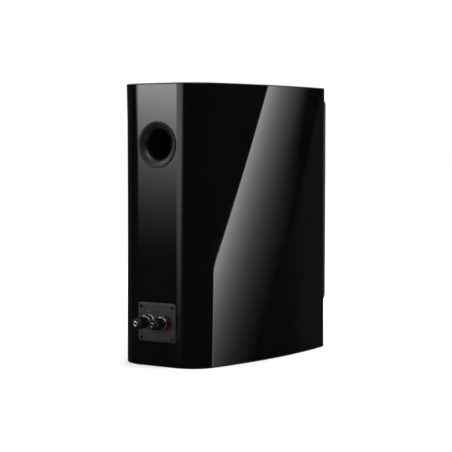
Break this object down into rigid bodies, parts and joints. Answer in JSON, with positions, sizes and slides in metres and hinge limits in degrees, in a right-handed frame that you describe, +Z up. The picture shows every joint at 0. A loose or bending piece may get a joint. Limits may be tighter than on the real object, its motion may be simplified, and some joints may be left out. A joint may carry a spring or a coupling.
{
  "type": "bookshelf speaker",
  "caption": "Bookshelf speaker with curved lacquered cabinet, front baffle plate with woofer and dome tweeter, flared rear port and binding posts.",
  "frame": {"origin": "bottom centre of the box round the whole speaker, posts and baffle plate included, on the surface it stands on", "axes": "+Z up; the drivers face -Y and the terminals +Y; X across, positive to the left seen from behind"},
  "size_m": [0.215, 0.3944, 0.44],
  "materials": {
    "cabinet_lacquer": "high-gloss black lacquer over moulded wood",
    "birch_ply": "bare plywood",
    "wadding": "needled polyester",
    "brass": "plain",
    "baffle_metal": "bead-blasted, dark anodised",
    "port_plastic": "fine matt moulding",
    "terminal_metal": "satin, dark anodised",
    "black_rubber": "matt",
    "black_steel": "black oxide",
    "clear_collar": "clear, frosted inside",
    "red_collar": "clear red",
    "black_gloss_plastic": "polished",
    "bright_metal": "polished",
    "copper_tint_metal": "polished, copper tint",
    "white_plastic": "moulded",
    "tinned_metal": "tinned",
    "cast_metal": "cast, black powder coat",
    "trim_plastic": "fine matt moulding",
    "cone_polymer": "satin filled polymer",
    "voice_coil": "lacquered winding",
    "impregnated_fabric": "resin-stiffened weave",
    "steel": "zinc plated",
    "ferrite": "ground ferrite",
    "tag_board": "laminated board",
    "faceplate_metal": "bead-blasted, dark anodised",
    "coated_silk": "coated weave",
    "circuit_board": "solder mask",
    "nylon": "moulded",
    "coil_winding": "enamelled copper wire",
    "capacitor_film": "wrapped film",
    "ceramic": "cement filled",
    "wire_insulation": "insulated stranded wire"
  },
  "bodies": {
    "cabinet": {"cabinet_shell": "cabinet_lacquer", "top_panel": "cabinet_lacquer", "bottom_panel": "cabinet_lacquer", "front_panel": "cabinet_lacquer", "upper_brace": "birch_ply", "lower_brace": "birch_ply", "acoustic_wadding": "wadding", "stand_inserts": "brass", "baffle_plate": "baffle_metal", "port_flare": "port_plastic", "port_tube": "port_plastic", "port_inner_flare": "port_plastic", "terminal_plate": "terminal_metal", "terminal_gasket": "black_rubber", "terminal_screws": "black_steel", "negative_collar": "clear_collar", "positive_collar": "red_collar", "post_sleeves": "black_gloss_plastic", "negative_stud": "bright_metal", "positive_stud": "copper_tint_metal", "post_insulators": "white_plastic", "post_nuts": "brass", "solder_tags": "tinned_metal", "woofer_basket": "cast_metal", "woofer_trim_ring": "trim_plastic", "woofer_screws": "black_steel", "woofer_surround": "black_rubber", "woofer_spider": "impregnated_fabric", "woofer_top_plate": "steel", "woofer_magnet": "ferrite", "woofer_yoke": "steel", "woofer_tags": "tag_board", "tweeter_faceplate": "faceplate_metal", "tweeter_screws": "black_steel", "tweeter_surround": "coated_silk", "tweeter_top_plate": "steel", "tweeter_magnet": "ferrite", "tweeter_yoke": "steel", "tweeter_rear_chamber": "cast_metal", "tweeter_tags": "tag_board", "crossover_board": "circuit_board", "crossover_standoffs": "nylon", "crossover_coils": "coil_winding", "crossover_capacitors": "capacitor_film", "crossover_resistors": "ceramic", "wiring_loom": "wire_insulation"},
    "woofer_motion": {"woofer_cone": "cone_polymer", "woofer_dust_dome": "cone_polymer", "woofer_voice_coil": "voice_coil"},
    "tweeter_motion": {"tweeter_dome": "coated_silk", "tweeter_voice_coil": "voice_coil"},
    "negative_clamp": {"negative_clamp_ring": "bright_metal"},
    "negative_knob": {"negative_knob": "black_gloss_plastic"},
    "positive_clamp": {"positive_clamp_ring": "bright_metal"},
    "positive_knob": {"positive_knob": "black_gloss_plastic"}
  },
  "joints": [
    {"name": "woofer_travel", "type": "slide", "parent": "cabinet", "child": "woofer_motion", "axis": [0, -1, 0], "range_m": [-0.006, 0.006], "stiffness_N_per_m": 1100, "deforming": ["woofer_surround", "woofer_spider"]},
    {"name": "tweeter_travel", "type": "slide", "parent": "cabinet", "child": "tweeter_motion", "axis": [0, -1, 0], "range_m": [-0.0005, 0.0005], "stiffness_N_per_m": 4000, "deforming": ["tweeter_surround"]},
    {"name": "negative_clamp_travel", "type": "slide", "parent": "cabinet", "child": "negative_clamp", "axis": [0, 1, 0], "range_m": [0, 0.005]},
    {"name": "negative_knob_turn", "type": "hinge", "parent": "negative_clamp", "child": "negative_knob", "pos_m": [0.01575, 0.18275, 0.0694], "axis": [0, 1, 0], "range_deg": [0, 1440]},
    {"name": "positive_clamp_travel", "type": "slide", "parent": "cabinet", "child": "positive_clamp", "axis": [0, 1, 0], "range_m": [0, 0.005]},
    {"name": "positive_knob_turn", "type": "hinge", "parent": "positive_clamp", "child": "positive_knob", "pos_m": [-0.01575, 0.18275, 0.0694], "axis": [0, 1, 0], "range_deg": [0, 1440]}
  ],
  "couplings": [
    {"joint": "negative_knob_turn", "follows": "negative_clamp_travel", "rad_per_m": 5026.5},
    {"joint": "positive_knob_turn", "follows": "positive_clamp_travel", "rad_per_m": 5026.5}
  ]
}
